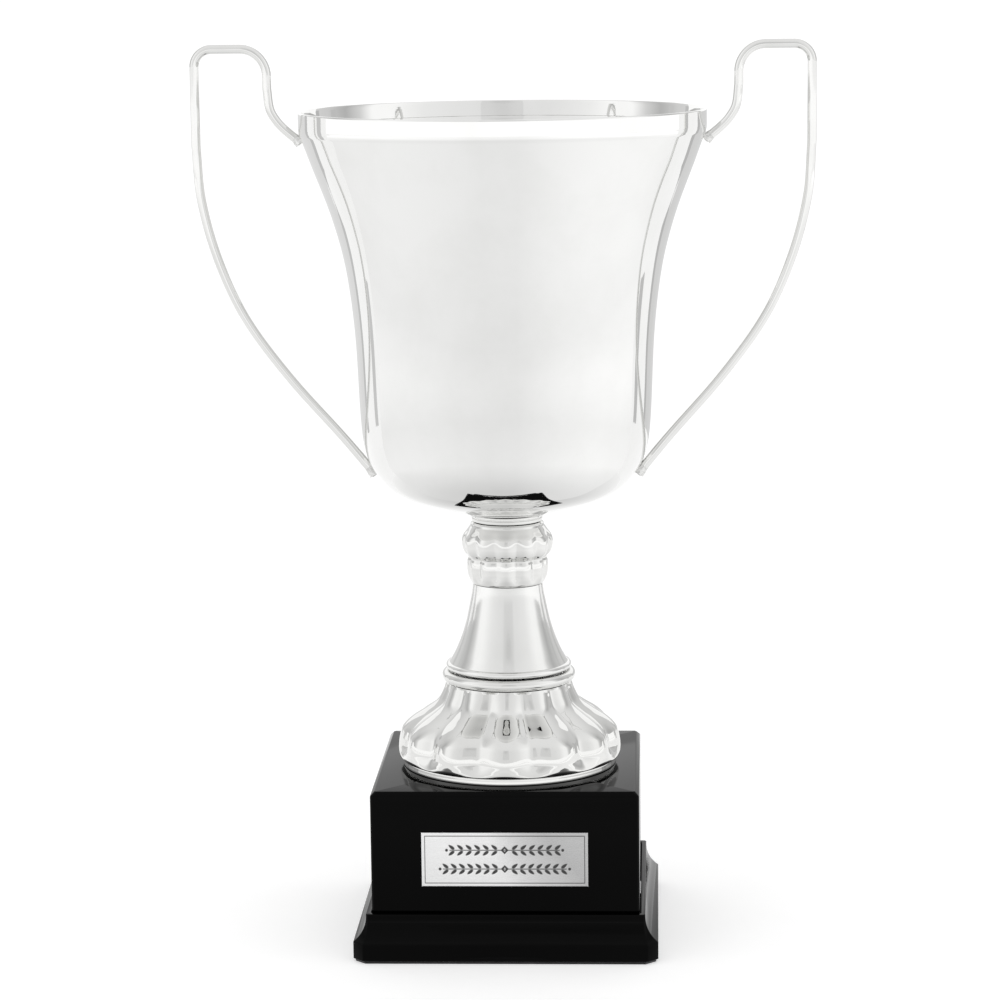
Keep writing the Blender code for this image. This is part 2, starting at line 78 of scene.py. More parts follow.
BOWL_WALL = [
    (0.0130, 0.1610), (0.0228, 0.1627), (0.0323, 0.1655), (0.0396, 0.1683), (0.0443, 0.1712),
    (0.0477, 0.1746), (0.0506, 0.1787), (0.0527, 0.1836), (0.0543, 0.1915), (0.0552, 0.2040),
    (0.0561, 0.2249), (0.0576, 0.2420), (0.0603, 0.2590), (0.0650, 0.2759), (0.0713, 0.2927),
    (0.0742, 0.3006), (0.0759, 0.3050),
]
NECK_GROOVE = [(0.0136, 0.1592), (0.01325, 0.1594), (0.01325, 0.1597), (0.0136, 0.1599)]
STEM_WALL = [
    (0.01345, 0.1339), (0.0141, 0.1292), (0.0151, 0.1242), (0.0164, 0.1185),
    (0.0181, 0.1130), (0.0203, 0.1077), (0.0226, 0.1034),
]
KNOP_WALL = [
    (0.0140, 0.1563), (0.0153, 0.1545), (0.0169, 0.1523), (0.0174, 0.1498), (0.0171, 0.1475),
    (0.0164, 0.1458), (0.0152, 0.1444), (0.0150, 0.1437), (0.0153, 0.1427), (0.0155, 0.1397),
    (0.0151, 0.1370), (0.0143, 0.1350),
]
FOOT_WALL = [
    (0.0243, 0.0950), (0.0253, 0.0921), (0.0274, 0.0884), (0.0320, 0.0850), (0.0377, 0.0813),
    (0.0410, 0.0780), (0.0420, 0.0752), (0.0425, 0.0726), (0.0427, 0.0704), (0.0427, 0.0691),
    (0.0426, 0.0680), (0.0422, 0.0671), (0.0412, 0.0667),
]
FOOT_FLANGE = [(0.0406, 0.0666), (0.0407, 0.0664), (0.0408, 0.0655), (0.0409, 0.0647), (0.0409, FOOT_BOTTOM)]
FOOT_FLANGE_INSIDE = [(0.0386, FOOT_BOTTOM), (0.0384, 0.0664)]
HANDLE_SWEEP = [
    (0.0620, 0.1903), (0.0821, 0.2134), (0.0983, 0.2362), (0.1082, 0.2589),
    (0.1138, 0.2814), (0.1152, 0.3010),
]
HANDLE_NECK = [(0.0880, 0.3220), (0.0870, 0.3142), (0.0845, 0.3097), (0.0810, 0.3060)]

# ---- How finely the shapes are made ----
ROUND = 256  # steps round a plain turned piece
LOBED = 24 * LOBES  # steps round a gadrooned piece
SHARP = math.radians(32)  # edges that turn more than this stay sharp
BEVELLED = math.radians(18)  # edges of a square moulding that turn more than this are rounded
PLASTIC_EDGE = 0.00022  # rounding of the plinth's edges
KNOP_CREASE, FOOT_CREASE = 0.0011, 0.0030
CREASE_ROUNDING = 0.22  # 0 would leave the creases sharp
# Each pair of heights goes from where a crease is nothing to where it is full.
KNOP_FADES = (0.1560, 0.1490), (KNOP_BOTTOM, 0.1380)
FOOT_RING_FADE, FOOT_TOP_FADE = (FOOT_TOP, 0.0790), (0.0960, 0.0950)
CREASE_AT_RING = 0.45  # the foot's crease by the ring, as a share of its full depth
FOOT_CREASE_RISE = 0.0045  # the height over which it grows from nothing, above the foot's edge


# ---- Curves ----
def smooth_curve(points, steps):
    """Points along a smooth curve through the given ones, `steps` to each span."""
    knots = vectors(points)
    reach = [0.0]
    for start, end in zip(knots, knots[1:]):
        reach.append(reach[-1] + (end - start).length)
    last = len(knots) - 1
    slopes = []
    for i in range(last + 1):
        low, high = max(i - 1, 0), min(i + 1, last)
        slopes.append((knots[high] - knots[low]) / (reach[high] - reach[low]))
    curve = []
    for i in range(last):
        span = reach[i + 1] - reach[i]
        for k in range(steps):
            u = k / steps
            curve.append(
                (2 * u**3 - 3 * u**2 + 1) * knots[i] + (u**3 - 2 * u**2 + u) * span * slopes[i]
                + (3 * u**2 - 2 * u**3) * knots[i + 1] + (u**3 - u**2) * span * slopes[i + 1]
            )
    curve.append(knots[-1])
    return curve


def faired(points, rounds):
    """The same curve with the small waves in its slope taken out, so that a mirror shows none."""
    points = [point.copy() for point in points]
    for _ in range(rounds):
        for pull in (0.5, -0.51):
            middle = [
                point + pull * ((before + after) / 2 - point)
                for before, point, after in zip(points, points[1:], points[2:])
            ]
            points = [points[0], *middle, points[-1]]
    return points


def vectors(points):
    return [Vector(point) for point in points]


def arc(centre, radius, start, end, steps):
    """Points on a circle from one angle to another, in degrees."""
    points = []
    for k in range(steps + 1):
        angle = math.radians(start + (end - start) * k / steps)
        points.append(Vector(centre) + radius * Vector((math.cos(angle), math.sin(angle))))
    return points


def offset_left(wall, distance):
    """The wall moved by the distance to the left of its own direction."""
    last = len(wall) - 1
    moved = []
    for i, point in enumerate(wall):
        along = (wall[min(i + 1, last)] - wall[max(i - 1, 0)]).normalized()
        moved.append(point + distance * Vector((-along.y, along.x)))
    return moved


def radius_at(wall, height):
    """The radius of a rising wall at a height."""
    for low, high in zip(wall, wall[1:]):
        if low.y <= height <= high.y:
            return low.x + (high.x - low.x) * (height - low.y) / (high.y - low.y)
    raise ValueError("height is outside the wall")


def smooth_step(value, start, end):
    """From 0 at start to 1 at end, with soft ends; start may be the larger."""
    share = min(max((value - start) / (end - start), 0.0), 1.0)
    return share * share * (3 - 2 * share)


# ---- Pieces ----
def add_object(name, bm, material):
    mesh = bpy.data.meshes.new(name)
    bm.to_mesh(mesh)
    bm.free()
    mesh.materials.append(material)
    thing = bpy.data.objects.new(name, mesh)
    bpy.context.scene.collection.objects.link(thing)
    return thing


def add_piece(name, bm, material, nodes, sharp=SHARP):
    """Makes a piece of a mesh, in place of the named CAD nodes."""
    bmesh.ops.recalc_face_normals(bm, faces=bm.faces)
    if bm.calc_volume(signed=True) < 0:
        bmesh.ops.reverse_faces(bm, faces=bm.faces)
    for face in bm.faces:
        face.smooth = True
    for edge in bm.edges:
        edge.smooth = edge.calc_face_angle(0.0) < sharp
    piece = add_object(name, bm, material)
    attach(piece, "root")
    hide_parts(*nodes)


def grid(bm, rings, closed=True):
    """Quads between rings of points. Closed joins the last ring to the first, else both ends are capped."""
    loops = [[bm.verts.new(point) for point in ring] for ring in rings]
    pairs = list(zip(loops, loops[1:])) + ([(loops[-1], loops[0])] if closed else [])
    for below, above in pairs:
        for k in range(len(above)):
            bm.faces.new((below[k - 1], below[k], above[k], above[k - 1]))
    if not closed:
        bm.faces.new(reversed(loops[0]))
        bm.faces.new(loops[-1])


def turned(outline, steps, shape=None):
    """A mesh turned about Z from a closed outline. shape(radius, height, angle) may change the radius."""
    bm = bmesh.new()
    rings = []
    for point in outline:
        ring = []
        for k in range(steps):
            angle = 2 * math.pi * k / steps
            radius = shape(point[0], point[1], angle) if shape else point[0]
            ring.append((radius * math.sin(angle), -radius * math.cos(angle), point[1]))
        rings.append(ring)
    grid(bm, rings)
    return bm


def gadroons(depth_at):
    """A shape for turned(): convex lobes with soft creases between, and the middle of one lobe in front."""
    full = math.sqrt(1 + CREASE_ROUNDING**2) - CREASE_ROUNDING

    def shape(radius, height, angle):
        swing = math.cos(LOBES / 2 * angle)
        rounded = (math.sqrt(swing * swing + CREASE_ROUNDING**2) - CREASE_ROUNDING) / full
        return radius - depth_at(height, radius) * (1 - rounded)

    return shape


def clipped_square(half, clip):
    """A square of this half width with its corners cut off."""
    return [
        (half, half - clip), (half - clip, half), (clip - half, half), (-half, half - clip),
        (-half, clip - half), (clip - half, -half), (half - clip, -half), (half, clip - half),
    ]


def square_turned(outline):
    """A square-plan moulding from (half width, height, corner clip) points, its edges rounded."""
    bm = bmesh.new()
    grid(bm, [[(x, y, z) for x, y in clipped_square(half, clip)] for half, z, clip in outline])
    bmesh.ops.recalc_face_normals(bm, faces=bm.faces)
    edges = [edge for edge in bm.edges if edge.calc_face_angle(0.0) > BEVELLED]
    bmesh.ops.bevel(
        bm, geom=edges, offset=PLASTIC_EDGE, offset_type="OFFSET", segments=3, profile=0.5,
        affect="EDGES", clamp_overlap=True,
    )
    return bm


# ---- Materials ----
class Nodes:
    """A short way to write a node tree."""

    def __init__(self, tree):
        self.tree = tree
        tree.nodes.clear()

    def add(self, kind, inputs=None, **settings):
        node = self.tree.nodes.new(kind)
        for key, value in settings.items():
            setattr(node, key, value)
        for key, value in (inputs or {}).items():
            if isinstance(value, bpy.types.NodeSocket):
                self.tree.links.new(value, node.inputs[key])
            else:
                node.inputs[key].default_value = value
        return node

    def math(self, operation, first, second=0.0):
        return self.add("ShaderNodeMath", {0: first, 1: second}, operation=operation).outputs[0]

    def mix(self, factor, first, second, blend="MIX"):
        return self.add(
            "ShaderNodeMix", {0: factor, 6: first, 7: second}, data_type="RGBA", blend_type=blend
        ).outputs[2]

    def place(self, scale=(1, 1, 1)):
        """Places on the object in metres, stretched by scale."""
        spot = self.add("ShaderNodeTexCoord").outputs["Object"]
        return self.add("ShaderNodeMapping", {"Vector": spot, "Scale": scale}).outputs[0]

    def noise(self, place, scale, detail=3.0, roughness=0.5):
        return self.add(
            "ShaderNodeTexNoise",
            {"Vector": place, "Scale": scale, "Detail": detail, "Roughness": roughness},
        ).outputs[0]

    def ramp(self, value, stops):
        """A colour ramp from (position, grey or colour) stops."""
        node = self.add("ShaderNodeValToRGB", {"Fac": value})
        elements = node.color_ramp.elements
        while len(elements) < len(stops):
            elements.new(0.5)
        for element, (position, colour) in zip(elements, stops):
            element.position = position
            element.color = (*colour, 1) if isinstance(colour, tuple) else grey(colour)
        return node.outputs["Color"]

    def spread(self, value, low, high):
        """Takes a value from 0..1 to low..high."""
        return self.add(
            "ShaderNodeMapRange", {"Value": value, "To Min": low, "To Max": high}
        ).outputs[0]

    def bump(self, height, strength, distance, normal=None):
        inputs = {"Height": height, "Strength": strength, "Distance": distance}
        if normal is not None:
            inputs["Normal"] = normal
        return self.add("ShaderNodeBump", inputs).outputs[0]


def grey(value):
    return value, value, value, 1


def new_material(name):
    material = bpy.data.materials.new(name)
    material.use_nodes = True
    return material, Nodes(material.node_tree)


def finish_material(nodes, inputs):
    shader = nodes.add("ShaderNodeBsdfPrincipled", inputs)
    nodes.add("ShaderNodeOutputMaterial", {"Surface": shader.outputs[0]})


def finish_light(nodes, tone, strength=1.0):
    """Ends a material that only gives light."""
    glow = nodes.add("ShaderNodeEmission", {"Color": tone, "Strength": strength})
    nodes.add("ShaderNodeOutputMaterial", {"Surface": glow.outputs[0]})


def silver(name, light, dark, roughness, wave):
    """Polished silver plate: faint tarnish, spinning marks and a slight waviness."""
    material, n = new_material(name)
    place = n.place()
    tarnish = n.noise(place, 38.0, 4.0, 0.6)
    rings = n.noise(n.place((12, 12, 900)), 3.0, 2.0)
    waves = n.noise(place, 26.0, 1.0)
    scratches = n.noise(n.place((500, 500, 4000)), 2.0, 2.0, 0.7)
    soft = n.bump(waves, 1.0, wave)
    finish_material(n, {
        "Base Color": n.ramp(tarnish, [(0.32, dark), (0.60, light)]),
        "Metallic": 1.0,
        "Roughness": n.spread(n.math("MULTIPLY", rings, scratches), roughness * 0.6, roughness * 2.2),
        "Normal": n.bump(rings, 0.25, 0.000004, soft),
    })
    return material


def solder_metal():
    material, n = new_material("solder_metal")
    lumps = n.noise(n.place(), 900.0, 3.0)
    finish_material(n, {
        "Base Color": n.ramp(lumps, [(0.35, (0.62, 0.62, 0.61)), (0.65, (0.80, 0.80, 0.79))]),
        "Metallic": 1.0,
        "Roughness": n.spread(lumps, 0.18, 0.38),
        "Normal": n.bump(lumps, 0.6, 0.0002),
    })
    return material


def steel(name, colour, roughness):
    """Turned steel with a bright zinc look and tool marks."""
    material, n = new_material(name)
    marks = n.noise(n.place((300, 300, 2600)), 2.0, 3.0)
    blotches = n.noise(n.place(), 220.0, 4.0)
    dull = tuple(0.72 * part for part in colour)
    finish_material(n, {
        "Base Color": n.ramp(blotches, [(0.35, dull), (0.65, colour)]),
        "Metallic": 1.0,
        "Roughness": n.spread(marks, roughness * 0.7, roughness * 1.5),
        "Normal": n.bump(marks, 0.5, 0.00004),
    })
    return material


def gloss_plastic():
    """Moulded black plastic with a deep shine, fine orange peel and a few soft handling marks."""
    material, n = new_material("black_gloss_plastic")
    place = n.place()
    peel = n.noise(place, 420.0, 2.0)
    sink = n.noise(place, 24.0, 1.0)
    marks = n.noise(n.place((90, 700, 90)), 1.0, 4.0, 0.65)
    finish_material(n, {
        "Base Color": n.ramp(sink, [(0.3, 0.0002), (0.7, 0.0004)]),
        "Roughness": n.spread(marks, 0.03, 0.085),
        "IOR": 1.15,
        "Normal": n.bump(sink, 0.5, 0.00010, n.bump(peel, 0.12, 0.00002)),
    })
    return material


def brushed_plate_with_painted_sheen():
    """A brushed plate with a painted sheen: its colour is painted lighter at lower left, a painted
    reflection. Its cuts are dark, where the mesh's cut attribute is 1.
    """
    material, n = new_material("brushed_plate_with_painted_sheen")
    grain = n.noise(n.place((60, 60, 9000)), 1.0, 3.0, 0.7)
    cut = n.add("ShaderNodeAttribute", attribute_name="cut").outputs["Fac"]
    spot = n.add("ShaderNodeSeparateXYZ", {0: n.place()}).outputs
    # Painted sheen: a slanting gradient with a soft noise wobble, painted into the plate's colour as a
    # reflection, lighter at lower left.
    painted_sheen_slant = n.math("ADD", n.math("MULTIPLY", spot["X"], 11.0), n.math("MULTIPLY", spot["Z"], 9.0))
    band = n.noise(n.place((22, 22, 22)), 1.0, 1.0)
    tone = n.ramp(n.math("ADD", painted_sheen_slant, n.math("MULTIPLY", band, 0.35)), [
        (0.00, 0.92), (0.30, 1.00), (0.50, 0.97), (0.66, 0.74), (0.82, 0.57), (1.00, 0.61),
    ])
    fine = n.ramp(grain, [(0.30, 0.88), (0.70, 1.0)])
    face = n.mix(1.0, tone, fine, "MULTIPLY")
    base = n.mix(cut, face, grey(0.085))
    finish_material(n, {
        "Base Color": base,
        "Metallic": 1.0,
        "Roughness": n.math("ADD", n.spread(grain, 0.20, 0.34), n.math("MULTIPLY", cut, 0.3)),
        "Normal": n.bump(grain, 0.35, 0.00003),
    })
    return material


def plaster():
    material, n = new_material("cast_plaster")
    place = n.place()
    pits = n.noise(place, 600.0, 5.0, 0.6)
    blotches = n.noise(place, 40.0, 4.0)
    finish_material(n, {
        "Base Color": n.ramp(blotches, [(0.3, (0.58, 0.56, 0.52)), (0.7, (0.72, 0.70, 0.66))]),
        "Roughness": n.spread(pits, 0.8, 0.95),
        "Normal": n.bump(pits, 0.8, 0.0005),
    })
    return material


def foam_tape():
    material, n = new_material("foam_tape")
    cells = n.noise(n.place(), 2500.0, 2.0)
    finish_material(n, {
        "Base Color": n.ramp(cells, [(0.35, (0.78, 0.78, 0.75)), (0.65, (0.90, 0.90, 0.88))]),
        "Roughness": n.spread(cells, 0.6, 0.8),
        "Normal": n.bump(cells, 0.5, 0.0001),
    })
    return material


def felt():
    material, n = new_material("baize_felt")
    place = n.place()
    fibres = n.noise(place, 2600.0, 6.0, 0.75)
    patches = n.noise(place, 160.0, 3.0)
    finish_material(n, {
        "Base Color": n.ramp(n.math("MULTIPLY", fibres, patches), [
            (0.12, (0.006, 0.006, 0.007)), (0.40, (0.022, 0.022, 0.024)),
        ]),
        "Roughness": n.spread(fibres, 0.85, 1.0),
        "Sheen Weight": 0.35,
        "Sheen Roughness": 0.5,
        "Normal": n.bump(fibres, 0.9, 0.0004),
    })
    return material


# The stem and the castings are darker copies of the same silver plate: their lower base colours are painted
# shade that greys them.
PLATED = silver("silver_plated_sheet", (0.832, 0.832, 0.824), (0.802, 0.802, 0.792), 0.030, 0.00004)
PLATED_STEM = silver("silver_plated_stem", (0.800, 0.800, 0.790), (0.770, 0.770, 0.758), 0.120, 0.00004)
PLATED_CAST = silver("silver_plated_castings", (0.770, 0.770, 0.758), (0.735, 0.735, 0.720), 0.045, 0.00005)
PLATED_WIRE = silver("silver_plated_wire", (0.790, 0.790, 0.780), (0.750, 0.750, 0.738), 0.060, 0.00002)
SOLDER = solder_metal()
BRIGHT_STEEL = steel("zinc_steel", (0.62, 0.62, 0.63), 0.26)
PLASTIC = gloss_plastic()
PLATE_METAL = brushed_plate_with_painted_sheen()
PLASTER = plaster()
TAPE = foam_tape()
FELT = felt()


# ---- Cup ----
BOWL_OUTSIDE = faired(smooth_curve(BOWL_WALL, 10), 150)
COLLAR_BEND = smooth_curve([BOWL_OUTSIDE[-1], COLLAR_TURN, (RIM_RADIUS, COLLAR_FOOT)], 5)[1:]
BOWL_TO_COLLAR = BOWL_OUTSIDE + COLLAR_BEND


def make_bowl():
    """The bowl's outline runs up its outside, over the lip and down its inside."""
    lip = arc((RIM_RADIUS - SHEET / 2, RIM_TOP - SHEET / 2), SHEET / 2, 0, 180, 10)
    inner_rim = RIM_RADIUS - SHEET
    inner_collar = vectors([(inner_rim - COLLAR_TAPER, COLLAR_FOOT - GAP), (inner_rim, RIM_TOP)])
    collar = [COLLAR_FOOT + rise for rise in (0.0003, 0.0020)] + [RIM_TOP - drop for drop in (0.0014, 0.0007)]
    outline = [Vector((ROD_HOLE, BOWL_BOTTOM)), *BOWL_TO_COLLAR]
    outline += [Vector((RIM_RADIUS, height)) for height in collar]
    outline += lip
    for height in [*reversed(collar), COLLAR_FOOT]:
        outline.append(Vector((radius_at(inner_collar, height), height)))
    outline += reversed(offset_left(BOWL_TO_COLLAR, SHEET)[1:-1])
    outline += vectors([(BOWL_SEAT, BOWL_BOTTOM + SHEET), (ROD_HOLE, BOWL_BOTTOM + SHEET)])
    add_piece("bowl_skin", turned(outline, ROUND), PLATED, ["bowl"])


def make_neck():
    bottom = KNOP_TOP + GAP
    rounding_centre = NECK_RADIUS - NECK_ROUNDING
    outline = vectors([(ROD_HOLE, bottom), (NECK_SEAT, bottom)])
    outline += arc((rounding_centre, bottom + NECK_ROUNDING), NECK_ROUNDING, -90, 0, 5)
    outline += vectors(NECK_GROOVE)
    outline += arc((rounding_centre, NECK_TOP - NECK_ROUNDING), NECK_ROUNDING, 0, 90, 5)
    outline.append(Vector((ROD_HOLE, NECK_TOP)))
    add_piece("neck_collar_skin", turned(outline, ROUND), PLATED_CAST, ["neck_collar"])


def knop_crease(height, radius):
    """Full on the ball and fading to nothing at the knop's ends."""
    if radius <= KNOP_PLAIN_RADIUS:
        return 0.0
    by_top, by_bottom = (smooth_step(height, *fade) for fade in KNOP_FADES)
    return KNOP_CREASE * by_top * by_bottom


def make_knop():
    outline = vectors([(KNOP_BORE, KNOP_TOP), *KNOP_SHOULDER])
    outline += faired(smooth_curve(KNOP_WALL, 8), 6)
    outline += vectors([*KNOP_SEAT, (KNOP_BORE, KNOP_BOTTOM)])
    mesh = turned(outline, LOBED, gadroons(knop_crease))
    add_piece("knop_skin", mesh, PLATED_CAST, ["knop"])


def make_stem():
    """The trumpet and the bead round its base, hollow inside."""
    wall = faired(smooth_curve(STEM_WALL, 10), 60)
    bead = arc(BEAD_CENTRE, BEAD_TUBE, 70, -90, 16)
    inside = [Vector((point.x - SHEET, point.y)) for point in reversed(wall)]
    outline = [*wall, *bead, Vector((BEAD_CENTRE[0] - SHEET, bead[-1].y)), *inside]
    add_piece("stem_skin", turned(outline, ROUND), PLATED_STEM, ["stem"])


def make_foot_ring():
    outline = arc(RING_CENTRE, RING_TUBE, 0, 350, 35)
    add_piece("foot_ring_skin", turned(outline, ROUND), PLATED_CAST, ["foot_ring"])


def foot_crease(height, _radius):
    """Deepest low on the dome, shallower by the ring, and nothing at the flange and at the flat top."""
    by_ring = CREASE_AT_RING + (1 - CREASE_AT_RING) * smooth_step(height, *FOOT_RING_FADE)
    by_flange = min(max((height - FOOT_EDGE) / FOOT_CREASE_RISE, 0.0), 1.0)
    return FOOT_CREASE * by_ring * by_flange * smooth_step(height, *FOOT_TOP_FADE)


def make_foot():
    """The foot's outline runs from its flat top down the dome, round the flange and back up inside."""
    wall = faired(smooth_curve(FOOT_WALL, 8), 8)
    inside = offset_left(wall, -SHEET)
    outline = vectors([(FOOT_MOUTH, FOOT_TOP), (FOOT_SHOULDER, FOOT_TOP)])
    outline += wall
    outline += smooth_curve(FOOT_FLANGE, 4)
    outline += vectors(FOOT_FLANGE_INSIDE)
    outline += reversed(inside[1:])
    outline += vectors([(FOOT_SHOULDER_INSIDE, FOOT_TOP - SHEET), (FOOT_MOUTH, FOOT_TOP - SHEET)])
    mesh = turned(outline, LOBED, gadroons(foot_crease))
    add_piece("foot_skin", mesh, PLATED_CAST, ["foot"])


def washer_outline(bottom):
    top = bottom + WASHER_THICK
    edge = WASHER_THICK * 0.35
    return [
        Vector((ROD_HOLE, bottom)), *arc((WASHER_RADIUS - edge, bottom + edge), edge, -90, 0, 4),
        *arc((WASHER_RADIUS - edge, top - edge), edge, 0, 90, 4), Vector((ROD_HOLE, top)),
    ]


def make_nut(name, bottom, node):
    """A hexagon nut whose corners are turned off at both ends."""
    apothem = NUT_ACROSS_FLATS / 2
    middle = bottom + NUT_HEIGHT / 2
    end_radius, cone_slope = apothem * 0.96, 1.6

    def shape(radius, height, angle):
        if radius < apothem * 0.9:  # the bore
            return radius
        flat = apothem / math.cos((angle + math.pi / 6) % (math.pi / 3) - math.pi / 6)
        turned_off = end_radius + (NUT_HEIGHT / 2 - abs(height - middle)) * cone_slope
        return min(flat, turned_off)

    levels = [0.0, 0.06, 0.12, 0.18, 0.25, 0.32, 0.5]
    levels += [1 - level for level in reversed(levels[:-1])]
    outline = [Vector((ROD_HOLE, bottom))]
    outline += [Vector((apothem, bottom + NUT_HEIGHT * level)) for level in levels]
    outline += [Vector((ROD_HOLE, bottom + NUT_HEIGHT))]
    add_piece(name, turned(outline, 120, shape), BRIGHT_STEEL, [node])


def make_fixings():
    """The washer and nut inside the bowl, and the tie rod that comes up through them."""
    washer_bottom = BOWL_BOTTOM + SHEET + GAP
    washer = turned(washer_outline(washer_bottom), 96)
    add_piece("cup_washer_skin", washer, BRIGHT_STEEL, ["cup_washer"])
    nut_bottom = washer_bottom + WASHER_THICK + GAP
    make_nut("cup_nut_skin", nut_bottom, "cup_nut")
    make_tie_rod(nut_bottom + NUT_HEIGHT + ROD_PROUD)


def make_tie_rod(top):
    """The rod, threaded at both ends and tapered at its tips."""
    pitch, depth, runout = 0.0008, 0.00032, 0.0010
    lower_thread_end, upper_thread_start = 0.0270, 0.1300
    lower_length, tip, core = 0.017, 0.0006, 0.0002
    step = pitch / 8

    def shape(radius, height, angle):
        if radius < ROD_RADIUS * 0.9:  # the middle of the flat ends
            return radius
        phase = (height / pitch - angle / (2 * math.pi)) % 1.0
        threaded = max(
            smooth_step(height, upper_thread_start, upper_thread_start + runout),
            smooth_step(height, lower_thread_end + runout, lower_thread_end),
        )
        ends = min(smooth_step(height, ROD_BOTTOM, ROD_BOTTOM + tip), smooth_step(height, top, top - tip))
        return radius - depth * threaded * abs(2 * phase - 1) - ROD_POINT * (1 - ends)

    heights = [ROD_BOTTOM + step * k for k in range(int(lower_length / step))]
    heights += [0.0290, 0.0600, 0.1000, 0.1290]
    upper_length = top - upper_thread_start
    count = int(upper_length / step)
    heights += [upper_thread_start + upper_length * k / count for k in range(count + 1)]
    outline = vectors([(core, ROD_BOTTOM), *[(ROD_RADIUS, height) for height in heights], (core, top)])
    add_piece("tie_rod_skin", turned(outline, 40, shape), BRIGHT_STEEL, ["tie_rod"])


# ---- Handles ----
def handle_end(height):
    """The middle of a wire's end, a little off the bowl's wall at this height."""
    reach = 0.002
    low, high = radius_at(BOWL_TO_COLLAR, height - reach), radius_at(BOWL_TO_COLLAR, height + reach)
    along = Vector((high - low, 2 * reach)).normalized()
    on_wall = Vector((radius_at(BOWL_TO_COLLAR, height), height))
    return on_wall + WIRE_STANDOFF * Vector((along.y, -along.x))


def handle_path():
    """The wire's middle line, from low on the bowl out, up, over the top and back to the collar."""
    outer_centre = (HANDLE_OUTER_X - OUTER_BEND, HANDLE_TOP_Z - OUTER_BEND)
    inner_centre = (HANDLE_INNER_X + INNER_BEND, HANDLE_TOP_Z - INNER_BEND)
    return [
        *faired(smooth_curve([handle_end(HANDLE_LOWER_Z), *HANDLE_SWEEP], 12), 40),
        *arc(outer_centre, OUTER_BEND, 0, 90, 12),
        *arc(inner_centre, INNER_BEND, 90, 180, 14),
        *smooth_curve([*HANDLE_NECK, handle_end(HANDLE_UPPER_Z)], 8),
    ]


def wire_ring(centre, along, radius, side, steps=24):
    """A ring of points square to the wire; side is 1 on the right and -1 on the left."""
    across = Vector((-along.y, 0.0, along.x))
    ring = []
    for k in range(steps):
        angle = 2 * math.pi * k / steps
        offset = radius * (math.cos(angle) * across + math.sin(angle) * Vector((0, 1, 0)))
        point = Vector((centre.x, 0.0, centre.y)) + offset
        ring.append((side * point.x, point.y, point.z))
    return ring


def wire_rings(path, side):
    """Rings along a wire, its two ends rounded over."""
    last = len(path) - 1
    rings = []
    for i, point in enumerate(path):
        along = (path[min(i + 1, last)] - path[max(i - 1, 0)]).normalized()
        if i in (0, last):
            outward = -along if i == 0 else along
            domes = []
            for turn in (80, 60, 40, 20):
                angle = math.radians(turn)
                centre = point + WIRE_END_DOME * math.sin(angle) * outward
                domes.append(wire_ring(centre, along, WIRE_RADIUS * math.cos(angle), side))
            end = wire_ring(point, along, WIRE_RADIUS, side)
            rings += [*domes, end] if i == 0 else [end, *reversed(domes)]
        else:
            rings.append(wire_ring(point, along, WIRE_RADIUS, side))
    return rings


def solder_rings(path, side, length, flare):
    """Rings of a lumpy fillet round the end of a wire."""
    along = (path[1] - path[0]).normalized()
    steps, around, skin = 12, 32, 0.00004
    rings = []
    for k in range(steps + 1):
        share = k / steps
        centre = path[0] + length * share * along
        proud = flare * (1 - share) ** 1.6 + skin
        ring = []
        for j, point in enumerate(wire_ring(centre, along, 1.0, side, around)):
            turn = 2 * math.pi * j / around
            lump = 1 + 0.22 * math.sin(3 * turn + 9 * share) * math.sin(math.pi * share)
            radius = WIRE_RADIUS + proud * lump
            base = Vector((side * centre.x, 0.0, centre.y))
            ring.append(base + radius * (Vector(point) - base))
        rings.append(ring)
    return rings


def make_handles():
    path = handle_path()
    for side_name, side in (("right", 1), ("left", -1)):
        bm = bmesh.new()
        grid(bm, wire_rings(path, side), closed=False)
        add_piece(f"handle_{side_name}_wire", bm, PLATED_WIRE, [f"handle_{side_name}"])
        fillets = (("lower", path, 0.0036, 0.00055), ("upper", path[::-1], 0.0026, 0.0007))
        for place, end, length, flare in fillets:
            bm = bmesh.new()
            grid(bm, solder_rings(end, side, length, flare), closed=False)
            name = f"solder_{place}_{side_name}"
            add_piece(f"{name}_fillet", bm, SOLDER, [name])


# ---- Plinth ----
def tier_clip(half):
    """How much of the tier's corners is cut off where it has this half width."""
    share = (half - TIER_LEDGE_HALF) / (TIER_HALF - TIER_LEDGE_HALF)
    return CORNER_CLIP + share * (TIER_CLIP - CORNER_CLIP)


def make_plinth_body():
    bottom = FELT_THICK + 2 * GAP
    inner, ceiling = PLINTH_HALF - PLINTH_WALL, PLINTH_TOP - PLINTH_WALL
    hole_clip = ROD_HOLE * (2 - math.sqrt(2))
    outline = [
        (ROD_HOLE, PLINTH_TOP, hole_clip),
        (PLINTH_HALF - PLINTH_CHAMFER, PLINTH_TOP, CORNER_CLIP),
        (PLINTH_HALF, PLINTH_TOP - PLINTH_CHAMFER, CORNER_CLIP),
        (PLINTH_HALF, bottom, CORNER_CLIP),
        (inner, bottom, CORNER_CLIP),
        (inner, ceiling, CORNER_CLIP),
        (ROD_HOLE, ceiling, hole_clip),
    ]
    mesh = square_turned(outline)
    add_piece("plinth_body_shell", mesh, PLASTIC, ["plinth_body"])


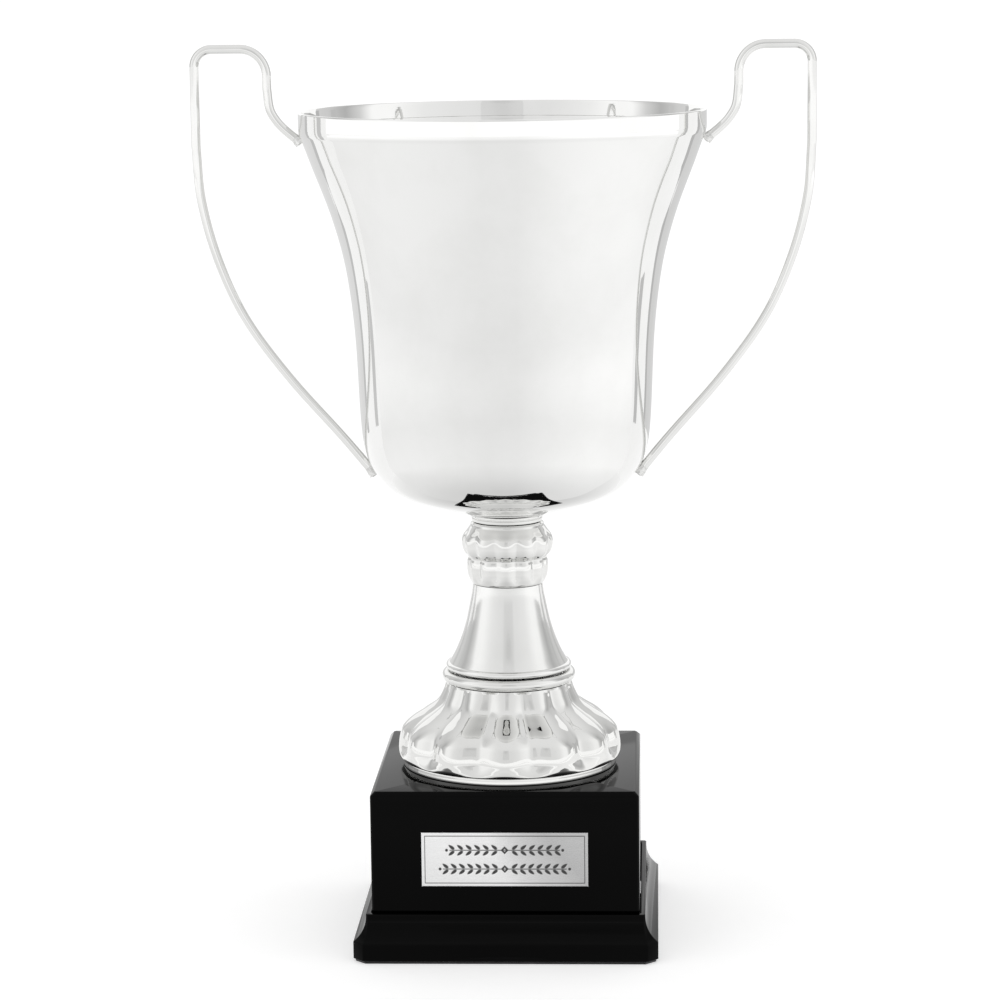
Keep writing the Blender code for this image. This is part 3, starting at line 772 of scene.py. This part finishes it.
def make_plinth_tier():
    """The slab, the cove above it and the ledge that the block rises from."""
    bottom = FELT_THICK + GAP
    cove_top = TIER_LEDGE - LEDGE_LIP
    centre = (TIER_LEDGE_HALF + COVE_RADIUS, cove_top)
    cove_end = 180 + math.degrees(math.asin((cove_top - TIER_SLAB_TOP) / COVE_RADIUS))
    cove = arc(centre, COVE_RADIUS, 180, cove_end, 20)
    outline = [
        (PLINTH_HALF + GAP, bottom, CORNER_CLIP),
        (PLINTH_HALF + GAP, TIER_LEDGE, CORNER_CLIP),
        (TIER_LEDGE_HALF, TIER_LEDGE, tier_clip(TIER_LEDGE_HALF)),
        *[(point.x, point.y, tier_clip(point.x)) for point in cove],
        (TIER_HALF, TIER_SLAB_TOP - SLAB_LIP, TIER_CLIP),
        (TIER_HALF, bottom, TIER_CLIP),
    ]
    mesh = square_turned(outline)
    add_piece("plinth_tier_moulding", mesh, PLASTIC, ["plinth_tier"])


# The ornament's sizes, in millimetres on the plate's face.
STALK_HALF_WIDTH, LEAF_HALF_LENGTH, LEAF_HALF_WIDTH, LEAF_ANGLE = 0.16, 1.35, 0.50, math.radians(38)
LEAF_ASIDE, LEAF_UP, LEAF_SPREAD = 0.7, 1.15, 0.93
DOT_RADIUS, DOT_BEYOND = 0.55, 1.1
DIAMOND_HALF, DIAMOND_HOLE, DIAMOND_ROOM = 1.5, 0.55, 1.2
BORDER_INSET, BORDER_HALF_WIDTH = 1.3, 0.13
LEAF_ROWS = ((3.6, 20.5, 13), (-3.6, 23.0, 15))  # height, half width and leaves
PLATE_CELL, CUT_EDGE = 0.14, 0.16
CUT_DEPTH, PLATE_EDGE_DROP = 0.00016, 0.00018  # metres


def leaf_row(x, z, row_z, half_width, leaves):
    """How far each point is from a row: a stalk with leaves on both sides, a diamond and two end dots."""
    nearest = np.maximum(np.abs(z - row_z) - STALK_HALF_WIDTH, np.abs(x) - half_width)
    for k in range(leaves):
        centre = half_width * LEAF_SPREAD * (2 * k / (leaves - 1) - 1)
        if abs(centre) < DIAMOND_ROOM:
            continue
        lean = -1 if centre < 0 else 1
        for up in (1, -1):
            angle = up * lean * LEAF_ANGLE
            dx, dz = x - centre - lean * LEAF_ASIDE, z - row_z - up * LEAF_UP
            along = dx * math.cos(angle) + dz * math.sin(angle)
            across = -dx * math.sin(angle) + dz * math.cos(angle)
            half_here = LEAF_HALF_WIDTH * (1.15 - 0.25 * along * lean)
            leaf = (np.hypot(along / LEAF_HALF_LENGTH, across / half_here) - 1) * LEAF_HALF_WIDTH
            nearest = np.minimum(nearest, leaf)
    for end in (-1, 1):
        dot = np.hypot(x - end * (half_width + DOT_BEYOND), z - row_z) - DOT_RADIUS
        nearest = np.minimum(nearest, dot)
    from_middle = np.abs(x) + np.abs(z - row_z)
    return np.minimum(nearest, np.maximum(from_middle - DIAMOND_HALF, DIAMOND_HOLE - from_middle))


def make_plate():
    """The engraving plate: its face is cut with an ornament of two leafy rows inside a fine border."""
    low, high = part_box("engraving_plate")
    width, height = (high.x - low.x) * 1000, (high.z - low.z) * 1000
    columns, rows = int(width / PLATE_CELL), int(height / PLATE_CELL)
    x, z = np.meshgrid(
        np.linspace(-width / 2, width / 2, columns + 1), np.linspace(-height / 2, height / 2, rows + 1)
    )
    from_side, from_end = width / 2 - np.abs(x), height / 2 - np.abs(z)
    shape = np.abs(BORDER_INSET - np.minimum(from_side, from_end)) - BORDER_HALF_WIDTH
    for row in LEAF_ROWS:
        shape = np.minimum(shape, leaf_row(x, z, *row))
    cut = np.clip(0.5 - shape / CUT_EDGE, 0, 1)
    edge_drop = np.clip(1 - from_side * 4, 0, 1) + np.clip(1 - from_end * 4, 0, 1)
    depth = cut * CUT_DEPTH + np.clip(edge_drop, 0, 1) * PLATE_EDGE_DROP
    bm = bmesh.new()
    layer = bm.verts.layers.float.new("cut")
    middle_z = (low.z + high.z) / 2
    front = []
    for i in range(rows + 1):
        line = []
        for j in range(columns + 1):
            vert = bm.verts.new((x[i, j] / 1000, low.y + depth[i, j], middle_z + z[i, j] / 1000))
            vert[layer] = float(cut[i, j])
            line.append(vert)
        front.append(line)
    for below, above in zip(front, front[1:]):
        for j in range(columns):
            bm.faces.new((below[j], below[j + 1], above[j + 1], above[j]))
    rim = front[0] + [line[-1] for line in front[1:-1]]
    rim += front[-1][::-1] + [line[0] for line in front[-2:0:-1]]
    back = [bm.verts.new((vert.co.x, high.y, vert.co.z)) for vert in rim]
    for k in range(len(rim)):
        bm.faces.new((rim[k - 1], rim[k], back[k], back[k - 1]))
    bm.faces.new(back)
    sharp = math.radians(60)
    add_piece("engraving_plate_face", bm, PLATE_METAL, ["engraving_plate"], sharp)


def dress_cad_nodes():
    """The inner pieces and the felt keep their CAD shapes and get full materials."""
    looks = {
        "plate_tape": TAPE, "plinth_weight": PLASTER, "base_felt": FELT, "centring_disc": BRIGHT_STEEL,
        "plinth_nut": BRIGHT_STEEL, "plinth_washer": BRIGHT_STEEL,
    }
    for name, material in looks.items():
        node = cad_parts[name]
        if not node.material_slots:
            node.data.materials.append(material)
        for slot in node.material_slots:
            slot.material = material


# ---- Studio ----
CAMERA_PLACE = Vector((0.0579, -1.2394, 0.3735))
CAMERA_AIM = Vector((-0.0026, 0.0, 0.1656))
CAMERA_LENS = 119.07  # on a 36 mm sensor
CAMERA_ROLL = math.radians(0.70)
TOWARDS_CAMERA = math.degrees(math.atan2(CAMERA_PLACE.x, -CAMERA_PLACE.y))
FLOOR_SIDE = 300.0
FRONT_SWEEP = 115  # degrees to either side that the front wall and floor reach
CARD_SPLIT = 0.27  # height where the back cards end and the high ones begin
FLOOR_CARD_HEIGHT = 0.0015
BACKDROP_RADIUS, BACKDROP_BOTTOM, BACKDROP_TOP = 60.0, -1.0, 60.0


def make_camera():
    camera = bpy.data.objects.new("camera", bpy.data.cameras.new("camera"))
    bpy.context.scene.collection.objects.link(camera)
    camera.data.lens = CAMERA_LENS
    camera.data.sensor_width = 36.0
    camera.data.clip_start, camera.data.clip_end = 0.05, 100.0
    camera.location = CAMERA_PLACE
    level = (CAMERA_AIM - CAMERA_PLACE).to_track_quat("-Z", "Y")
    camera.rotation_euler = (level @ Quaternion((0, 0, 1), -CAMERA_ROLL)).to_euler()
    bpy.context.scene.camera = camera


def make_floor():
    """A pale, flat sheet of floor that gives back a little light of its own."""
    bm = bmesh.new()
    bmesh.ops.create_grid(bm, x_segments=40, y_segments=40, size=FLOOR_SIDE / 2)
    material, n = new_material("floor_paper")
    grain = n.noise(n.place(), 30.0, 3.0)
    finish_material(n, {
        "Base Color": n.ramp(grain, [(0.3, 0.715), (0.7, 0.735)]),
        "Roughness": 0.9,
        "Specular IOR Level": 0.1,
        "Emission Color": (1, 1, 1, 1),
        "Emission Strength": 0.42,
    })
    floor = add_object("studio_floor", bm, material)


def at_bearing(bearing, reach, height):
    """A point by its bearing from the camera's side, in degrees, its reach from the axis and its height."""
    angle = math.radians(TOWARDS_CAMERA + bearing)
    return reach * math.sin(angle), -reach * math.cos(angle), height


def sheet(rows):
    """A mesh of quads between open rows of points."""
    bm = bmesh.new()
    lines = [[bm.verts.new(point) for point in row] for row in rows]
    for near, far in zip(lines, lines[1:]):
        for k in range(len(near) - 1):
            bm.faces.new((near[k], near[k + 1], far[k + 1], far[k]))
    return bm


def add_card(name, bm, material):
    """Adds a card that is seen only in reflections."""
    card = add_object(name, bm, material)
    card.visible_camera = False
    card.visible_diffuse = False
    card.visible_shadow = False


def make_card(name, start, end, radius, bottom, top, light, centre_light=None):
    """A curved upright card between two bearings; centre_light is the tone of its middle."""
    steps = 12
    bearings = [start + (end - start) * k / steps for k in range(steps + 1)]
    bm = sheet([[at_bearing(bearing, radius, height) for bearing in bearings] for height in (bottom, top)])
    material, n = new_material(name + "_light")
    tone = grey(light)
    if centre_light is not None:
        spot = n.add("ShaderNodeTexCoord").outputs["Generated"]
        for place, scale in (((-1, -1, -1), (2, 2, 2)), ((0, 0, 0), (1, 0, 1))):
            spot = n.add("ShaderNodeMapping", {"Vector": spot, "Location": place, "Scale": scale}).outputs[0]
        inner = n.add("ShaderNodeTexGradient", {"Vector": spot}, gradient_type="QUADRATIC_SPHERE")
        tone = n.ramp(inner.outputs["Fac"], [(0.0, light), (0.45, centre_light)])
    finish_light(n, tone)
    add_card(name, bm, material)


def make_floor_card(name, start, end, steps, reaches, tones, side_strengths=None):
    """A flat card just above the floor: tones from the axis outwards, strengths from left to right."""
    bearings = [start + (end - start) * k / steps for k in range(steps + 1)]
    bm = sheet([[at_bearing(bearing, reach, FLOOR_CARD_HEIGHT) for bearing in bearings] for reach in reaches])
    material, n = new_material(name + "_light")
    spot = n.add("ShaderNodeSeparateXYZ", {0: n.place()}).outputs
    squares = [n.math("MULTIPLY", spot[axis], spot[axis]) for axis in ("X", "Y")]
    reach = n.math("SQRT", n.math("ADD", *squares))
    tone = n.ramp(n.math("DIVIDE", reach, reaches[-1]), tones)
    strength = 1.0
    if side_strengths is not None:
        aside = n.math("ADD", n.math("DIVIDE", spot["X"], n.math("MULTIPLY", reach, 2.0)), 0.5)
        strength = n.ramp(aside, side_strengths)
    finish_light(n, tone, strength)
    add_card(name, bm, material)


def make_cards():
    """What the cup reflects: cards that draw the grey lines down its edges, the tent's wall, the
    photographer, and the floor in front and close behind the plinth, greyest where the trophy shades it."""
    for side_name, side, shade in (("left", -1, 1.0), ("right", 1, 0.90)):
        make_card(f"card_inner_{side_name}", side * 118.5, side * 123.5, 1.00, 0.0, 0.42, 0.66 * shade)
        make_card(f"card_outer_{side_name}", side * 138.0, side * 142.5, 1.00, 0.0, 0.42, 0.60 * shade)
        make_card(f"card_back_{side_name}", side * 142.5, side * 180.0, 1.05, 0.0, CARD_SPLIT, 0.80 * shade)
        make_card(f"card_high_{side_name}", side * 142.5, side * 180.0, 1.05, CARD_SPLIT, 0.90, 1.15)
    make_card("card_front_wall", -FRONT_SWEEP, FRONT_SWEEP, 2.50, 0.05, 0.23, 1.24)
    make_card("card_photographer", -13, 13, 1.36, 0.32, 1.50, 0.80, 0.70)
    make_floor_card(
        "card_front_floor", -FRONT_SWEEP, FRONT_SWEEP, 24, (0.06, 0.20, 0.45, 0.70, 0.95, 1.25, 2.50),
        tones=[
            (0.034, 0.72), (0.072, 0.84), (0.14, 0.96), (0.22, 0.95),
            (0.36, 0.92), (0.50, 1.00), (0.72, 1.12), (1.0, 1.20),
        ],
        side_strengths=[(0.0, 1.08), (0.40, 1.0), (0.60, 1.0), (1.0, 1.18)],
    )
    make_floor_card(
        "card_near_floor", FRONT_SWEEP, 360 - FRONT_SWEEP, 12, (0.06, 0.14, 0.22, 0.30),
        tones=[(0.2, 0.66), (0.6, 0.90), (1.0, 1.04)],
    )


def make_backdrop():
    """A white wall far round the studio, seen only by the camera, and only by one that sees that far."""
    bearings = [360 * k / 48 for k in range(49)]
    heights = (BACKDROP_BOTTOM, BACKDROP_TOP)
    bm = sheet([[at_bearing(bearing, BACKDROP_RADIUS, height) for bearing in bearings] for height in heights])
    material, n = new_material("backdrop_paper")
    finish_light(n, n.ramp(n.noise(n.place(), 0.2, 2.0), [(0.3, 1.08), (0.7, 1.12)]))
    wall = add_object("studio_backdrop", bm, material)
    wall.visible_glossy = False
    wall.visible_diffuse = False
    wall.visible_transmission = False
    wall.visible_shadow = False


def make_world():
    """A light tent: brightest at both sides, with a dark band behind each, and in between elsewhere."""
    world = bpy.data.worlds.new("light_tent")
    bpy.context.scene.world = world
    world.use_nodes = True
    n = Nodes(world.node_tree)
    way = n.add("ShaderNodeSeparateXYZ", {0: n.add("ShaderNodeTexCoord").outputs["Generated"]}).outputs
    bearing = n.math("ARCTAN2", way["X"], n.math("MULTIPLY", way["Y"], -1.0))
    turn = n.math("ADD", n.math("DIVIDE", bearing, 2 * math.pi), 0.5)
    around = n.ramp(turn, [  # 0 and 1 are behind the trophy, 0.5 is in front of it
        (0.00, 0.84), (0.16, 0.74), (0.21, 0.55), (0.245, 0.76), (0.275, 1.14), (0.315, 1.14), (0.38, 0.97),
        (0.43, 0.91), (0.508, 0.88), (0.58, 0.91), (0.64, 0.97), (0.70, 1.14), (0.74, 1.14), (0.765, 0.76),
        (0.80, 0.52), (0.85, 0.70), (1.00, 0.84),
    ])
    overhead = n.add(
        "ShaderNodeMapRange", {"Value": way["Z"], "From Min": 0.55, "From Max": 0.92}
    ).outputs[0]
    sky = n.mix(overhead, around, grey(0.95))
    light = n.add("ShaderNodeBackground", {"Color": sky, "Strength": 1.0})
    n.add("ShaderNodeOutputWorld", {"Surface": light.outputs[0]})


def main():
    make_camera()
    make_floor()
    make_cards()
    make_backdrop()
    make_world()
    make_bowl()
    make_neck()
    make_knop()
    make_stem()
    make_foot_ring()
    make_foot()
    make_fixings()
    make_handles()
    make_plinth_body()
    make_plinth_tier()
    make_plate()
    dress_cad_nodes()
    bpy.context.scene.view_settings.view_transform = "Standard"


main()
